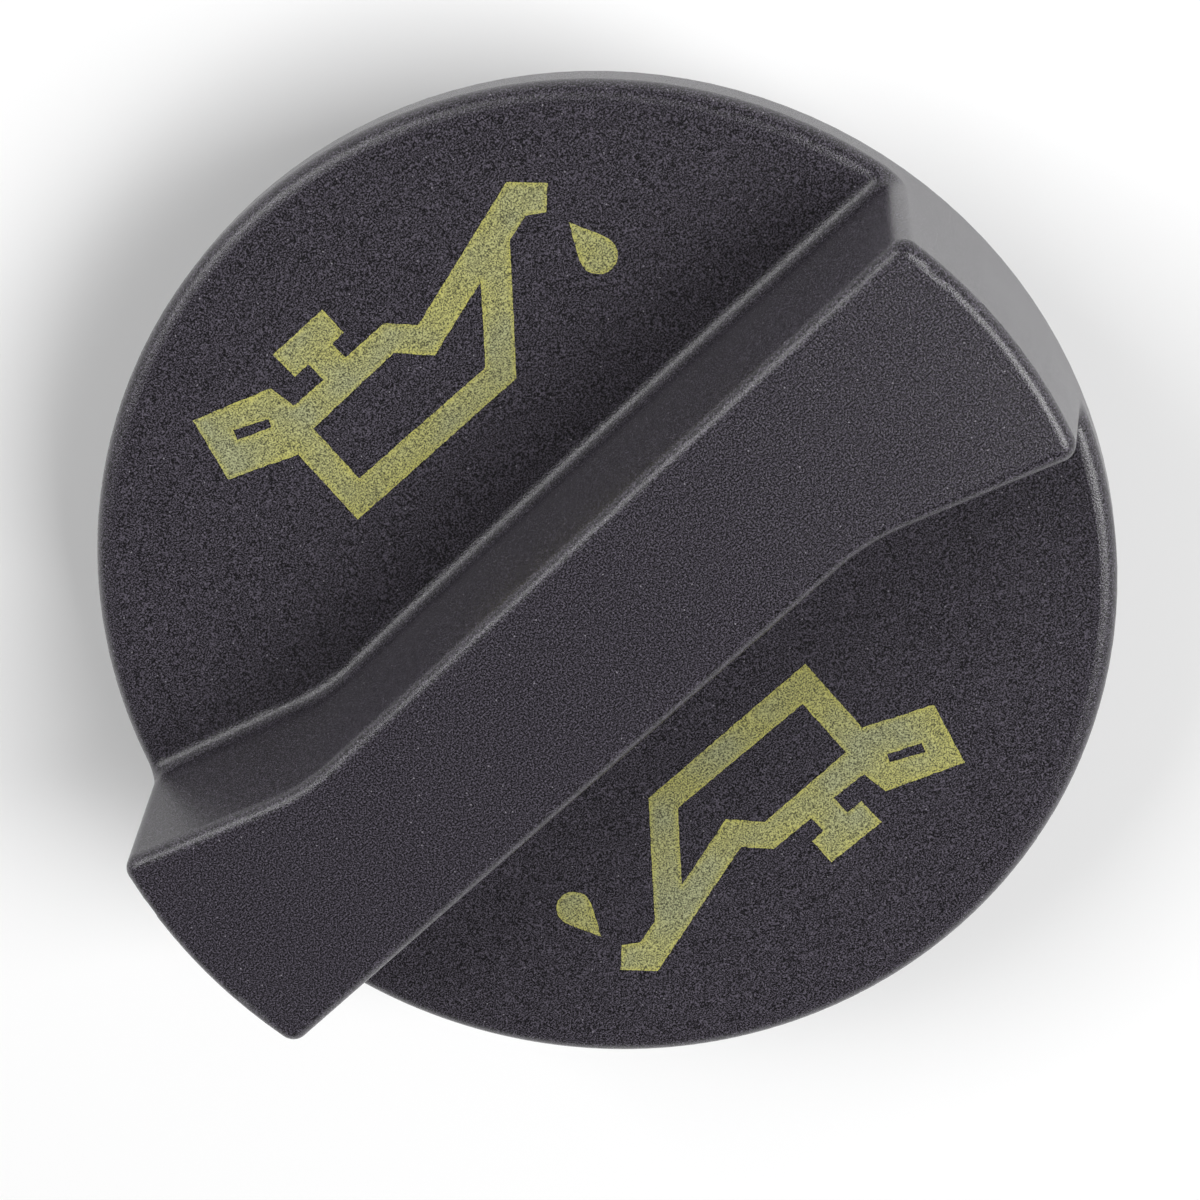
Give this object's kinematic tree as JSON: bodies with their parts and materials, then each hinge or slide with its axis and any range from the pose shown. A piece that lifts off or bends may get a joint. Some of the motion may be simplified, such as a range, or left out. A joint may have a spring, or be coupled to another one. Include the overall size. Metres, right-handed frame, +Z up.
{
  "type": "oil filler cap",
  "caption": "Round moulded oil filler cap with a tall grip bar across a dished disc, a hollow bayonet spigot below and a flat rubber seal ring.",
  "frame": {"origin": "centre of the spigot's end face, on which the cap stands", "axes": "+Z up the cap's axis to the top of the grip, X along the grip"},
  "size_m": [0.062, 0.062, 0.0291],
  "materials": {
    "cap_plastic": "fine spark-textured moulding, semi-matt",
    "seal_rubber": "plain moulded rubber"
  },
  "bodies": {
    "root": {"cap_body": "cap_plastic", "seal_ring": "seal_rubber"}
  },
  "joints": []
}
